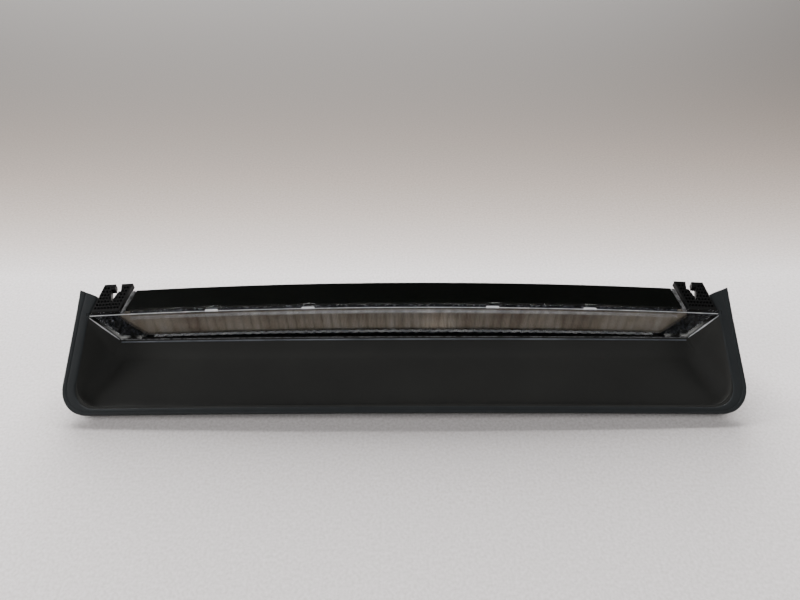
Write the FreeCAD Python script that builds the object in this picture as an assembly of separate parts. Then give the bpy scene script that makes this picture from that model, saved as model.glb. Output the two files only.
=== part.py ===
import FreeCAD, Part
import os

# High-mounted stop lamp: a wide scoop-shaped shroud, a clear lens across its back, and an LED unit behind.
# Lengths in millimetres. X runs along the lamp, Y from the shroud's front rim to the back, Z up.
# Every shape is drawn with Y = 0 at the front rim, then moved so the origin is under the centre.

# Envelope
WIDTH = 504.0
DEPTH = 92.0
HALF = WIDTH / 2
WALL = 2.5
GAP = 0.3
FAR = 600.0

# The rim and the lamp's top both follow the car's rear glass: a plane that climbs to the back,
# crowned along X
GLASS_FRONT = 5.0
GLASS_SLOPE = 0.5
RIM_CROWN = 2.5
LAMP_CROWN = 9.3

# Shroud rim and scoop
RIM_END = 86.6
RIM_END_INNER = 81.5
RIM_CORNER = 26.0
RIM_TAPER = 1.0
RIM_FRONT = 5.5
SEAL_THICKNESS = 1.2
SCOOP_HALF = 242.0
SCOOP_HALF_BACK = 237.0
SCOOP_CORNER = 18.0
SCOOP_BLEND = 4.0
SIDE_LEAN = 0.32
APRON_FOOT = 57.5

# Lens face
LENS_FACE = 67.1
LENS_WALL = 2.2
LENS_BACK = 75.2
LENS_FOOT_HALF = 226.1
LENS_FOOT = 11.0
LENS_FOOT_CROWN = 2.4
LENS_TIP_HALF = 243.4
LENS_TIP = 38.8
EAR_WIDTH = 2.3
TAB_PLACES = (-143.0, -71.0, 71.0, 143.0)
TAB = (9.0, 2.0, 0.8)

# Lamp housing
STRIP_FRONT = 70.5
STRIP_FRONT_HALF = 212.9
STRIP_BACK = 84.0
STRIP_BACK_HALF = 205.9
STRIP_BACK_BOW = 0.7
HOUSING_FLOOR = 8.2
HOUSING_WALL = 2.0
FRAME_THICKNESS = 2.0

# Shelf, ribs and cheeks of the shroud that carry the lamp
SHELF_TOP = 8.0
SHELF_BACK = 84.0
CHEEK_BACK = 83.0
RIB_PLACES = (-190.0, -95.0, 0.0, 95.0, 190.0)
RIB_THICKNESS = 2.5

# Window in the bezel, seen through the lens
BEZEL_FRONT = 69.6
BEZEL_THICKNESS = 1.4
WINDOW_TOP_HALF = 219.0
WINDOW_SIDE = 33.0
WINDOW_FOOT_HALF = 204.0
WINDOW_FOOT = 15.0
WINDOW_FOOT_CROWN = 5.0
WINDOW_HEAD = 37.5
WINDOW_HEAD_CROWN = 7.0

# Fluted optic and reflector
OPTIC_FRONT = 71.4
OPTIC_THICKNESS = 1.5
FLUTE_PITCH = 7.0
FLUTE_RISE = 0.6
FLUTE_COUNT = 54
OPTIC_MARGIN = 1.0
REFLECTOR_FRONT = 73.2
REFLECTOR_THICKNESS = 1.8
LED_HOLE = 3.0

# Board and what is soldered on it
BOARD_FRONT = 77.4
BOARD_THICKNESS = 1.6
BOARD_HALF = 196.0
BOARD_FOOT = 19.0
BOARD_HEIGHT = 18.0
BOARD_MID = BOARD_FOOT + BOARD_HEIGHT / 2
BOARD_BACK = BOARD_FRONT + BOARD_THICKNESS
LED_COUNT = 18
LED_PITCH = 21.0
LED_BODY = (3.5, 1.9, 2.8)
RESISTOR_PLACES = (-168.0, -126.0, -84.0, 84.0, 126.0, 168.0)
RESISTOR_BODY = (6.3, 0.6, 3.2)
CAPACITOR_PLACES = (-26.0, 26.0)
CAPACITOR_RADIUS = 2.0
CAPACITOR_HEIGHT = 3.0
CHIP_BODY = (8.6, 1.5, 4.0)
CHIP_OFFSET = -36.0
DIODE_BODY = (7.0, 2.2, 4.5)
DIODE_OFFSET = 36.0

# Connector socket in the middle of the back
SOCKET_OUTER = (18.0, 13.0)
SOCKET_INNER = (14.0, 9.0)
SOCKET_BASE = 85.0
SOCKET_FLOOR = 86.0
SOCKET_STEM = (12.0, 7.0)
TERMINAL_PITCH = 5.0
TERMINAL_BLADE = (1.5, 0.8)
TERMINAL_TIP = 87.4

# Screws
SCREW_RADIUS = 1.5
SCREW_HOLE = 1.6
HEAD_RADIUS = 3.0
HEAD_HEIGHT = 1.8
RECESS = (3.2, 0.7, 1.0)
LAMP_SCREW_PLACES = (-150.0, -50.0, 50.0, 150.0)
LAMP_SCREW_Y = 79.6
LAMP_SCREW_TIP = 14.0
BOSS_RADIUS = 3.2
BOSS_CAP = 1.0
BOARD_SCREW_PLACES = (-147.0, -63.0, 63.0, 147.0)
BOARD_SCREW_TIP = 84.2
POST_RADIUS = 2.8

# Mounting clip blocks beside the lamp
CLIP_FRONT = 69.7
CLIP_BACK = 89.3
CLIP_FRONT_INNER = 218.0
CLIP_WIDTH = 22.4
CLIP_LEAN = 8.3
CLIP_THICKNESS = 4.6
SLOT_MOUTH_INNER = 218.7
SLOT_MOUTH_OUTER = 223.2
SLOT_CAVITY_OUTER = 226.3
SLOT_HOOK = 85.8
SLOT_STEP = 84.0
SLOT_TIP = (225.2, 77.2)
SLOT_SHOULDER = 1.6
SLOT_WALL = 1.0
POCKET = (1.7, 1.5, 1.8)
POCKET_PITCH = (2.5, 2.35)
POCKET_ROWS = 7
POCKET_COLUMNS = 8
POCKET_EDGE = 0.8
POCKET_START = 2.0
LEG = (215.0, 223.0, 77.6, 83.6)
LEG_SCREW = (219.0, 80.6)
LEG_SCREW_TIP = 17.0
SLOT_DEPTH = 12.0


def vec(x, y, z):
    return FreeCAD.Vector(x, y, z)


def box(x0, x1, y0, y1, z0, z1):
    return Part.makeBox(x1 - x0, y1 - y0, z1 - z0, vec(x0, y0, z0))


def block(size, middle_x, front_y, middle_z):
    """A box centred in X and Z, with its front face at front_y."""
    width, depth, height = size
    return Part.makeBox(width, depth, height, vec(middle_x - width / 2, front_y, middle_z - height / 2))


def rod(radius, start, direction, length):
    return Part.makeCylinder(radius, length, start, direction)


def join(shapes):
    return shapes[0].multiFuse(shapes[1:]).removeSplitter()


def outline(edges):
    return Part.Face(Part.Wire(Part.__sortEdges__(edges)))


def polygon(points):
    return Part.Face(Part.makePolygon(points + [points[0]]))


def plan_prism(points):
    """An upright prism on a plan of (x, y) points, far taller than the lamp."""
    face = polygon([vec(x, y, -FAR / 2) for x, y in points])
    return face.extrude(vec(0, 0, FAR))


def front_prism(face, front, back):
    """A face drawn at y = 0 in the XZ plane, swept from front to back."""
    moved = face.copy()
    moved.translate(vec(0, front, 0))
    return moved.extrude(vec(0, back - front, 0))


def rounded_plan(half, front, back, corner):
    """An upright prism with square back corners and rounded front corners."""
    slab = box(-half, half, front, back, -FAR / 2, FAR / 2)
    edges = [e for e in slab.Edges if e.Vertexes[0].Y == front and e.Vertexes[1].Y == front
             and abs(e.Vertexes[0].X - e.Vertexes[1].X) < GAP]
    return slab.makeFillet(corner, edges)


def crown_height(x, crown):
    """Height of a shallow arc that is crown high at x = 0 and zero at the lamp's ends."""
    radius = (HALF ** 2 + crown ** 2) / (2 * crown)
    return crown - radius + (radius ** 2 - x ** 2) ** 0.5


def under_glass(crown, drop):
    """Everything below the glass surface, lowered by drop."""
    reach = HALF + RIM_CORNER
    start = -RIM_CORNER
    base = GLASS_FRONT + GLASS_SLOPE * start - drop
    left = vec(-reach, start, base + crown_height(reach, crown))
    middle = vec(0, start, base + crown)
    right = vec(reach, start, base + crown_height(reach, crown))
    low_right = vec(reach, start, -FAR)
    low_left = vec(-reach, start, -FAR)
    face = outline([Part.Arc(left, middle, right).toShape(), Part.makeLine(right, low_right),
                    Part.makeLine(low_right, low_left), Part.makeLine(low_left, left)])
    run = DEPTH + 2 * RIM_CORNER
    return face.extrude(vec(0, run, run * GLASS_SLOPE))


def glass_layer(crown, drop, thickness):
    return under_glass(crown, drop).cut(under_glass(crown, drop + thickness))


def trim(shape, point, normal, grow):
    """Cuts away what lies beyond a plane, after moving the plane outward by grow."""
    tool = Part.makeBox(2 * FAR, 2 * FAR, FAR, vec(-FAR, -FAR, 0))
    turn = FreeCAD.Rotation(vec(0, 0, 1), normal)
    unit = vec(normal.x, normal.y, normal.z).normalize()
    tool.Placement = FreeCAD.Placement(point + unit * grow, turn)
    return shape.cut(tool)


def side_plane(side):
    """Leaning side wall of the scoop, through the rim's inner edge."""
    point = vec(side * SCOOP_HALF, 0, GLASS_FRONT)
    normal = vec(side, SIDE_LEAN * GLASS_SLOPE, -SIDE_LEAN)
    return point, normal


def facet_plane(side):
    """Triangular wall between the lens's slanted edge and the scoop's side."""
    tip = vec(side * LENS_TIP_HALF, LENS_FACE, LENS_TIP)
    corner = vec(side * LENS_FOOT_HALF, LENS_FACE, LENS_FOOT)
    depth = GLASS_FRONT + GLASS_SLOPE * APRON_FOOT - WALL
    foot = vec(side * (SCOOP_HALF - SIDE_LEAN * depth), APRON_FOOT, WALL)
    normal = (tip - corner).cross(foot - corner)
    if normal.y < 0:
        normal = normal * -1
    return corner, normal


def scoop(grow):
    """The hollow of the scoop as one convex solid, with every wall moved outward by grow."""
    shape = rounded_plan(SCOOP_HALF + grow, RIM_FRONT - grow, DEPTH, SCOOP_CORNER + grow)
    rise = vec(0, LENS_FOOT - WALL, APRON_FOOT - LENS_FACE)
    planes = [(vec(0, 0, WALL), vec(0, 0, -1)), (vec(0, APRON_FOOT, WALL), rise),
              (vec(0, LENS_FACE, 0), vec(0, 1, 0))]
    for side in (-1, 1):
        planes.append(side_plane(side))
        planes.append(facet_plane(side))
    for point, normal in planes:
        shape = trim(shape, point, normal, grow)
    return shape


def hollow():
    """The scoop's hollow, blended round its floor and along the hips up to the lens's lower corners."""
    shape = scoop(0)
    low = [e for e in shape.Edges if max(v.Z for v in e.Vertexes) < LENS_FOOT + WALL
           and min(v.Y for v in e.Vertexes) < LENS_FACE - WALL]
    return shape.makeFillet(SCOOP_BLEND, low)


def rim_plan():
    """The U-shaped plan of the rim, with its back ends cut at a slant."""
    outer = rounded_plan(HALF, 0, RIM_END, RIM_CORNER)
    inner = rounded_plan(SCOOP_HALF, RIM_FRONT, LENS_FACE, SCOOP_CORNER)
    ends = plan_prism([(-SCOOP_HALF, LENS_FACE), (SCOOP_HALF, LENS_FACE),
                       (SCOOP_HALF_BACK, RIM_END_INNER), (HALF - RIM_TAPER, RIM_END),
                       (HALF, DEPTH), (-HALF, DEPTH), (-HALF + RIM_TAPER, RIM_END),
                       (-SCOOP_HALF_BACK, RIM_END_INNER)])
    return outer.cut([inner, ends])


def lens_face(inset):
    """Outline of the lens seen from the front, its slanted ends run on past the glass surface."""
    lean = (LENS_TIP_HALF - LENS_FOOT_HALF) / (LENS_TIP - LENS_FOOT)
    head = LENS_TIP + DEPTH
    head_half = LENS_TIP_HALF + lean * DEPTH
    left = vec(-LENS_FOOT_HALF, 0, LENS_FOOT)
    right = vec(LENS_FOOT_HALF, 0, LENS_FOOT)
    middle = vec(0, 0, LENS_FOOT + LENS_FOOT_CROWN)
    high_left = vec(-head_half, 0, head)
    high_right = vec(head_half, 0, head)
    face = outline([Part.Arc(left, middle, right).toShape(), Part.makeLine(right, high_right),
                    Part.makeLine(high_right, high_left), Part.makeLine(high_left, left)])
    return face.makeOffset2D(-inset)


def window_face(grow):
    """Outline of the bezel's window."""
    left = vec(-WINDOW_FOOT_HALF, 0, WINDOW_FOOT)
    right = vec(WINDOW_FOOT_HALF, 0, WINDOW_FOOT)
    low = vec(0, 0, WINDOW_FOOT + WINDOW_FOOT_CROWN)
    side_right = vec(WINDOW_TOP_HALF, 0, WINDOW_SIDE)
    side_left = vec(-WINDOW_TOP_HALF, 0, WINDOW_SIDE)
    head_right = vec(WINDOW_TOP_HALF, 0, WINDOW_HEAD)
    head_left = vec(-WINDOW_TOP_HALF, 0, WINDOW_HEAD)
    high = vec(0, 0, WINDOW_HEAD + WINDOW_HEAD_CROWN)
    face = outline([Part.Arc(left, low, right).toShape(), Part.makeLine(right, side_right),
                    Part.makeLine(side_right, head_right), Part.Arc(head_right, high, head_left).toShape(),
                    Part.makeLine(head_left, side_left), Part.makeLine(side_left, left)])
    return face.makeOffset2D(grow)


def strip_plan(grow):
    """Plan of the lamp's top: slanted ends and a slightly bowed back edge."""
    front_left = vec(-STRIP_FRONT_HALF, STRIP_FRONT, -FAR / 2)
    front_right = vec(STRIP_FRONT_HALF, STRIP_FRONT, -FAR / 2)
    back_right = vec(STRIP_BACK_HALF, STRIP_BACK, -FAR / 2)
    back_left = vec(-STRIP_BACK_HALF, STRIP_BACK, -FAR / 2)
    back_middle = vec(0, STRIP_BACK + STRIP_BACK_BOW, -FAR / 2)
    face = outline([Part.makeLine(front_left, front_right), Part.makeLine(front_right, back_right),
                    Part.Arc(back_right, back_middle, back_left).toShape(),
                    Part.makeLine(back_left, front_left)])
    return face.makeOffset2D(grow).extrude(vec(0, 0, FAR))


def screw(head_point, direction, length):
    """Pan-head screw with a cross recess; head_point is where the head meets what it clamps."""
    head = rod(HEAD_RADIUS, head_point - direction * HEAD_HEIGHT, direction, HEAD_HEIGHT)
    shank = rod(SCREW_RADIUS, head_point, direction, length)
    long, narrow, deep = RECESS
    top = head_point - direction * HEAD_HEIGHT
    solid = head.fuse(shank).removeSplitter()
    turn = FreeCAD.Rotation(vec(0, 0, 1), direction)
    for width, height in ((long, narrow), (narrow, long)):
        solid = solid.cut(bar_at(width, height, deep, top, turn))
    return solid


def bar_at(width, height, deep, top, turn):
    """One bar of a cross recess, sunk deep into a screw head."""
    bar = Part.makeBox(width, height, 2 * deep)
    bar.translate(vec(-width / 2, -height / 2, -deep))
    bar = bar.transformGeometry(FreeCAD.Placement(top, turn).toMatrix())
    return bar


def lamp_room():
    """The space the lens and the housing's front frame need, with clearance all round."""
    face = lens_face(-GAP)
    front = front_prism(face, LENS_FACE, LENS_FACE + LENS_WALL + GAP).common(under_glass(LAMP_CROWN, -GAP))
    deep = front_prism(face, LENS_FACE, LENS_BACK + FRAME_THICKNESS + GAP)
    return front.fuse(deep.common(under_glass(LAMP_CROWN, CLIP_THICKNESS + GAP)))


def shroud():
    """Scoop shell with its rim, and behind the lens the shelf, ribs and cheeks that carry the lamp."""
    below_seal = under_glass(RIM_CROWN, SEAL_THICKNESS)
    rim = rim_plan().common(glass_layer(RIM_CROWN, SEAL_THICKNESS, WALL))
    tub = scoop(WALL).common(below_seal)
    back = box(-HALF, HALF, APRON_FOOT, CHEEK_BACK, 0, DEPTH).common(below_seal)
    carried = [box(-HALF, HALF, LENS_FACE - WALL, SHELF_BACK, SHELF_TOP - WALL, SHELF_TOP)]
    for x in RIB_PLACES:
        half = RIB_THICKNESS / 2
        carried.append(box(x - half, x + half, APRON_FOOT, SHELF_BACK, 0, SHELF_TOP))
    for side in (-1, 1):
        point, normal = side_plane(side)
        back = trim(back, point, normal, WALL)
    carried = [c.common(back) for c in carried]
    cheeks = back.cut(box(-HALF, HALF, 0, LENS_FACE, 0, DEPTH))
    inner = box(-HALF, HALF, 0, DEPTH, -WALL, DEPTH)
    for side in (-1, 1):
        point, normal = side_plane(side)
        inner = trim(inner, point, normal, 0)
    cheeks = cheeks.cut(inner)
    shell = join([rim, tub, cheeks] + carried)
    holes = []
    for x in LAMP_SCREW_PLACES:
        holes.append(rod(SCREW_HOLE, vec(x, LAMP_SCREW_Y, 0), vec(0, 0, 1), SHELF_TOP + GAP))
    for side in (-1, 1):
        foot = vec(side * LEG_SCREW[0], LEG_SCREW[1], 0)
        holes.append(rod(SCREW_HOLE, foot, vec(0, 0, 1), SHELF_TOP + GAP))
    return shell.cut(hollow()).cut(lamp_room()).cut(holes).removeSplitter()


def glass_seal():
    """Soft lip bonded on the rim, where the shroud meets the glass."""
    return rim_plan().common(glass_layer(RIM_CROWN, 0, SEAL_THICKNESS)).cut(lamp_room())


def outer_lens():
    """Clear cap: front face, walls welded to the housing, and thin ears along the lamp's top ends."""
    cap = front_prism(lens_face(GAP), LENS_FACE, LENS_BACK)
    room = front_prism(lens_face(GAP + LENS_WALL), LENS_FACE + LENS_WALL, LENS_BACK + GAP)
    roof = under_glass(LAMP_CROWN, 0)
    shell = cap.common(roof).cut(room.common(under_glass(LAMP_CROWN, LENS_WALL)))
    clear_of_clips = box(-HALF, HALF, LENS_FACE + LENS_WALL, DEPTH, 0, DEPTH)
    clear_of_clips = clear_of_clips.cut(under_glass(LAMP_CROWN, CLIP_THICKNESS + 2 * GAP))
    behind_strip = box(-HALF, HALF, STRIP_FRONT - GAP / 2, DEPTH, 0, DEPTH)
    behind_strip = behind_strip.cut(under_glass(LAMP_CROWN, LENS_WALL + GAP))
    middle = box(-STRIP_FRONT_HALF, STRIP_FRONT_HALF, 0, DEPTH, 0, DEPTH)
    ends = box(-HALF, HALF, 0, DEPTH, 0, DEPTH).cut(middle)
    shell = shell.cut(clear_of_clips.common(ends)).cut(behind_strip)
    ears = []
    for side in (-1, 1):
        ears.append(plan_prism([(side * (STRIP_FRONT_HALF + GAP / 2), STRIP_FRONT - WALL),
                                (side * (STRIP_FRONT_HALF + EAR_WIDTH), STRIP_FRONT - WALL),
                                (side * (STRIP_FRONT_HALF + EAR_WIDTH), STRIP_FRONT),
                                (side * (STRIP_BACK_HALF + EAR_WIDTH), STRIP_BACK),
                                (side * (STRIP_BACK_HALF + GAP), STRIP_BACK),
                                (side * (STRIP_FRONT_HALF + GAP), STRIP_FRONT)]))
    ears = [e.common(glass_layer(LAMP_CROWN, 0, LENS_WALL)) for e in ears]
    tabs = []
    wide, deep, high = TAB
    for x in TAB_PLACES:
        foot = box(x - wide / 2, x + wide / 2, STRIP_FRONT - deep - GAP, STRIP_FRONT - GAP, 0, DEPTH)
        tabs.append(foot.common(glass_layer(LAMP_CROWN, -high, high + LENS_WALL / 2)))
    return join([shell] + ears + tabs)


def lamp_housing():
    """Black tray behind the lens. Its top is the smooth strip along the glass."""
    tray = strip_plan(0).common(under_glass(LAMP_CROWN, 0))
    tray = tray.common(box(-HALF, HALF, 0, DEPTH, HOUSING_FLOOR, DEPTH))
    lens_room = box(-HALF, HALF, 0, LENS_BACK, 0, DEPTH)
    lens_room = lens_room.common(under_glass(LAMP_CROWN, LENS_WALL + GAP / 2))
    inside = strip_plan(-HOUSING_WALL).fuse(box(-BOARD_HALF, BOARD_HALF, 0, LENS_BACK, -FAR / 2, FAR / 2))
    inside = inside.common(box(-HALF, HALF, 0, DEPTH, HOUSING_FLOOR + HOUSING_WALL, DEPTH))
    inside = inside.common(under_glass(LAMP_CROWN, HOUSING_WALL))
    frame = front_prism(lens_face(GAP), LENS_BACK, LENS_BACK + FRAME_THICKNESS)
    frame = frame.common(under_glass(LAMP_CROWN, CLIP_THICKNESS + 2 * GAP))
    shape = join([tray.cut([inside, lens_room]), frame.cut(strip_plan(-HOUSING_WALL))])
    bosses = []
    holes = []
    for x in LAMP_SCREW_PLACES:
        bosses.append(rod(BOSS_RADIUS, vec(x, LAMP_SCREW_Y, HOUSING_FLOOR), vec(0, 0, 1),
                          LAMP_SCREW_TIP + BOSS_CAP - HOUSING_FLOOR))
        holes.append(rod(SCREW_HOLE, vec(x, LAMP_SCREW_Y, 0), vec(0, 0, 1), LAMP_SCREW_TIP + GAP))
    back_inner = STRIP_BACK - HOUSING_WALL
    for x in BOARD_SCREW_PLACES:
        start = vec(x, BOARD_BACK, BOARD_MID)
        bosses.append(rod(POST_RADIUS, start, vec(0, 1, 0), back_inner + BOSS_CAP - BOARD_BACK))
        holes.append(rod(SCREW_HOLE, start, vec(0, 1, 0), BOARD_SCREW_TIP - BOARD_BACK + GAP))
    wide, high = SOCKET_STEM
    holes.append(block((wide + 2 * GAP, DEPTH, high + 2 * GAP), 0, BOARD_BACK, BOARD_MID))
    return join([shape] + bosses).cut(holes)


def inner_bezel():
    """Gloss-black mask with a slant-ended window."""
    plate = front_prism(lens_face(2 * GAP + LENS_WALL), BEZEL_FRONT, BEZEL_FRONT + BEZEL_THICKNESS)
    plate = plate.common(under_glass(LAMP_CROWN, CLIP_THICKNESS + 2 * GAP))
    upper = front_prism(lens_face(2 * GAP + LENS_WALL), BEZEL_FRONT, BEZEL_FRONT + BEZEL_THICKNESS)
    upper = upper.common(under_glass(LAMP_CROWN, LENS_WALL + 2 * GAP))
    upper = upper.common(box(-STRIP_FRONT_HALF + WALL, STRIP_FRONT_HALF - WALL, 0, DEPTH, 0, DEPTH))
    return plate.fuse(upper).cut(front_prism(window_face(0), 0, DEPTH)).removeSplitter()


def optic_plan():
    """Plan of the optic: a flat back and a row of round flutes on the front."""
    half = FLUTE_COUNT * FLUTE_PITCH / 2
    end = WINDOW_TOP_HALF + OPTIC_MARGIN
    back = OPTIC_FRONT + OPTIC_THICKNESS
    edges = [Part.makeLine(vec(-end, OPTIC_FRONT, 0), vec(-half, OPTIC_FRONT, 0)),
             Part.makeLine(vec(half, OPTIC_FRONT, 0), vec(end, OPTIC_FRONT, 0)),
             Part.makeLine(vec(end, OPTIC_FRONT, 0), vec(end, back, 0)),
             Part.makeLine(vec(end, back, 0), vec(-end, back, 0)),
             Part.makeLine(vec(-end, back, 0), vec(-end, OPTIC_FRONT, 0))]
    for i in range(FLUTE_COUNT):
        x = -half + i * FLUTE_PITCH
        start = vec(x, OPTIC_FRONT, 0)
        crest = vec(x + FLUTE_PITCH / 2, OPTIC_FRONT + FLUTE_RISE, 0)
        edges.append(Part.Arc(start, crest, vec(x + FLUTE_PITCH, OPTIC_FRONT, 0)).toShape())
    return outline(edges)


def optic_outline():
    """The window's outline, a little larger, kept clear of the lens and the clip blocks."""
    shape = front_prism(window_face(OPTIC_MARGIN), 0, DEPTH)
    shape = shape.common(front_prism(lens_face(2 * GAP + LENS_WALL), 0, DEPTH))
    ends_clear = under_glass(LAMP_CROWN, CLIP_THICKNESS + 2 * GAP)
    middle = under_glass(LAMP_CROWN, LENS_WALL + 2 * GAP)
    middle = middle.common(box(-STRIP_FRONT_HALF + WALL, STRIP_FRONT_HALF - WALL, 0, DEPTH, 0, DEPTH))
    return shape.common(ends_clear).fuse(shape.common(middle)).removeSplitter()


def fluted_optic():
    plate = optic_plan().extrude(vec(0, 0, DEPTH))
    return plate.common(optic_outline())


def reflector():
    """Bright tray behind the optic, with a round hole for each light-emitting diode."""
    back = REFLECTOR_FRONT + REFLECTOR_THICKNESS
    plate = optic_outline().common(box(-HALF, HALF, REFLECTOR_FRONT, back, 0, DEPTH))
    holes = [rod(LED_HOLE, vec(x, REFLECTOR_FRONT - GAP, BOARD_MID), vec(0, 1, 0), WALL)
             for x in led_places()]
    return plate.cut(holes)


def led_places():
    return [(i - (LED_COUNT - 1) / 2) * LED_PITCH for i in range(LED_COUNT)]


def led_board():
    board = box(-BOARD_HALF, BOARD_HALF, BOARD_FRONT, BOARD_BACK, BOARD_FOOT, BOARD_FOOT + BOARD_HEIGHT)
    holes = [rod(SCREW_HOLE, vec(x, BOARD_FRONT, BOARD_MID), vec(0, 1, 0), BOARD_THICKNESS)
             for x in BOARD_SCREW_PLACES]
    return board.cut(holes)


def leds():
    deep = LED_BODY[1]
    return Part.makeCompound([block(LED_BODY, x, BOARD_FRONT - deep, BOARD_MID) for x in led_places()])


def current_resistors():
    return Part.makeCompound([block(RESISTOR_BODY, x, BOARD_BACK, BOARD_MID) for x in RESISTOR_PLACES])


def filter_capacitors():
    cans = []
    for x in CAPACITOR_PLACES:
        cans.append(rod(CAPACITOR_RADIUS, vec(x, BOARD_BACK, BOARD_MID), vec(0, 1, 0), CAPACITOR_HEIGHT))
    return Part.makeCompound(cans)


def driver_chip():
    return block(CHIP_BODY, CHIP_OFFSET, BOARD_BACK, BOARD_MID)


def protection_diode():
    return block(DIODE_BODY, DIODE_OFFSET, BOARD_BACK, BOARD_MID)


def connector_header():
    """Two-pole socket on the board, its mouth facing backwards through the housing."""
    wide, high = SOCKET_OUTER
    shell = block((wide, DEPTH - SOCKET_BASE, high), 0, SOCKET_BASE, BOARD_MID)
    wide, high = SOCKET_INNER
    shell = shell.cut(block((wide, DEPTH, high), 0, SOCKET_FLOOR, BOARD_MID))
    wide, high = SOCKET_STEM
    stem = block((wide, SOCKET_BASE - BOARD_BACK, high), 0, BOARD_BACK, BOARD_MID)
    wide, high = TERMINAL_BLADE
    pins = [block((wide, DEPTH, high), side * TERMINAL_PITCH / 2, BOARD_BACK, BOARD_MID)
            for side in (-1, 1)]
    return join([shell, stem]).cut(pins)


def connector_terminals():
    wide, high = TERMINAL_BLADE
    return Part.makeCompound([block((wide, TERMINAL_TIP - BOARD_BACK, high), side * TERMINAL_PITCH / 2,
                                    BOARD_BACK, BOARD_MID) for side in (-1, 1)])


def lamp_screws():
    start = SHELF_TOP - WALL
    return Part.makeCompound([screw(vec(x, LAMP_SCREW_Y, start), vec(0, 0, 1), LAMP_SCREW_TIP - start)
                              for x in LAMP_SCREW_PLACES])


def board_screws():
    reach = BOARD_SCREW_TIP - BOARD_FRONT
    return Part.makeCompound([screw(vec(x, BOARD_FRONT, BOARD_MID), vec(0, 1, 0), reach)
                              for x in BOARD_SCREW_PLACES])


def clip_block_screws():
    start = SHELF_TOP - WALL
    x, y = LEG_SCREW
    return Part.makeCompound([screw(vec(side * x, y, start), vec(0, 0, 1), LEG_SCREW_TIP - start)
                              for side in (-1, 1)])


def clip_pockets(side):
    """Moulded waffle of small pockets in the clip block's upper face, in rows along its lean."""
    pockets = []
    wide, long, deep = POCKET
    run = CLIP_BACK - CLIP_FRONT
    for row in range(POCKET_ROWS):
        y = CLIP_FRONT + POCKET_START + row * POCKET_PITCH[1]
        shift = CLIP_LEAN * (y - CLIP_FRONT) / run
        for column in range(POCKET_COLUMNS):
            x = CLIP_FRONT_INNER + CLIP_WIDTH - POCKET_EDGE - (column + 1) * POCKET_PITCH[0] - shift
            base = GLASS_FRONT + GLASS_SLOPE * y + crown_height(x, LAMP_CROWN) - deep
            low = min(side * x, side * (x + wide))
            pockets.append(Part.makeBox(wide, long, DEPTH, vec(low, y, base)))
    return Part.makeCompound(pockets)


def slot_plan(side, grow):
    """Keyhole slot, open to the back: narrow mouth, wide cavity, slanted tail."""
    points = [(SLOT_MOUTH_INNER - grow, DEPTH), (SLOT_MOUTH_INNER - grow, SLOT_STEP - grow),
              (SLOT_MOUTH_INNER + SLOT_SHOULDER - grow, SLOT_STEP - grow),
              (SLOT_TIP[0] - grow, SLOT_TIP[1] - grow),
              (SLOT_CAVITY_OUTER + grow, SLOT_HOOK - SLOT_WALL + grow),
              (SLOT_CAVITY_OUTER + grow, SLOT_HOOK + grow),
              (SLOT_MOUTH_OUTER + grow, SLOT_HOOK + grow), (SLOT_MOUTH_OUTER + grow, DEPTH)]
    return plan_prism([(side * x, y) for x, y in points])


def clip_block(side):
    """Mounting block: a leaning waffle plate with a keyhole slot, on a leg screwed to the shroud's shelf."""
    inner = CLIP_FRONT_INNER
    plan = plan_prism([(side * inner, CLIP_FRONT), (side * (inner + CLIP_WIDTH), CLIP_FRONT),
                       (side * (inner + CLIP_WIDTH - CLIP_LEAN), CLIP_BACK),
                       (side * (inner - CLIP_LEAN), CLIP_BACK)])
    point, normal = side_plane(side)
    plate = plan.common(glass_layer(LAMP_CROWN, 0, CLIP_THICKNESS))
    left, right, front, back = LEG
    low = min(side * left, side * right)
    leg = box(low, low + right - left, front, back, SHELF_TOP, DEPTH)
    leg = leg.common(under_glass(LAMP_CROWN, CLIP_THICKNESS / 2))
    slot = slot_plan(side, 0).cut(under_glass(LAMP_CROWN, SLOT_DEPTH))
    walls = slot_plan(side, SLOT_WALL).common(plate)
    pockets = clip_pockets(side).cut(walls)
    hole = rod(SCREW_HOLE, vec(side * LEG_SCREW[0], LEG_SCREW[1], 0), vec(0, 0, 1), LEG_SCREW_TIP + GAP)
    return trim(plate.cut(pockets).fuse(leg).cut([slot, hole]), point, normal, -GAP)


def save(name, shape):
    shape = shape.copy()
    shape.translate(vec(0, -DEPTH / 2, 0))
    bounds = shape.BoundBox
    shape.exportStep("parts/" + name + ".step")
    low = [round(v, 1) for v in (bounds.XMin, bounds.YMin, bounds.ZMin)]
    high = [round(v, 1) for v in (bounds.XMax, bounds.YMax, bounds.ZMax)]
    print(name, shape.isValid(), len(shape.Solids), round(shape.Volume), low, high)


PIECES = {
    "shroud": shroud,
    "glass_seal": glass_seal,
    "outer_lens": outer_lens,
    "inner_bezel": inner_bezel,
    "fluted_optic": fluted_optic,
    "reflector": reflector,
    "led_board": led_board,
    "leds": leds,
    "current_resistors": current_resistors,
    "filter_capacitors": filter_capacitors,
    "driver_chip": driver_chip,
    "protection_diode": protection_diode,
    "connector_header": connector_header,
    "connector_terminals": connector_terminals,
    "lamp_housing": lamp_housing,
    "board_screws": board_screws,
    "lamp_screws": lamp_screws,
    "left_clip_block": lambda: clip_block(-1),
    "right_clip_block": lambda: clip_block(1),
    "clip_block_screws": clip_block_screws,
}

os.makedirs("parts", exist_ok=True)
for name, make in PIECES.items():
    save(name, make())
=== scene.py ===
import math

import bmesh
import bpy
import numpy as np
from mathutils import Matrix, Vector


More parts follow.
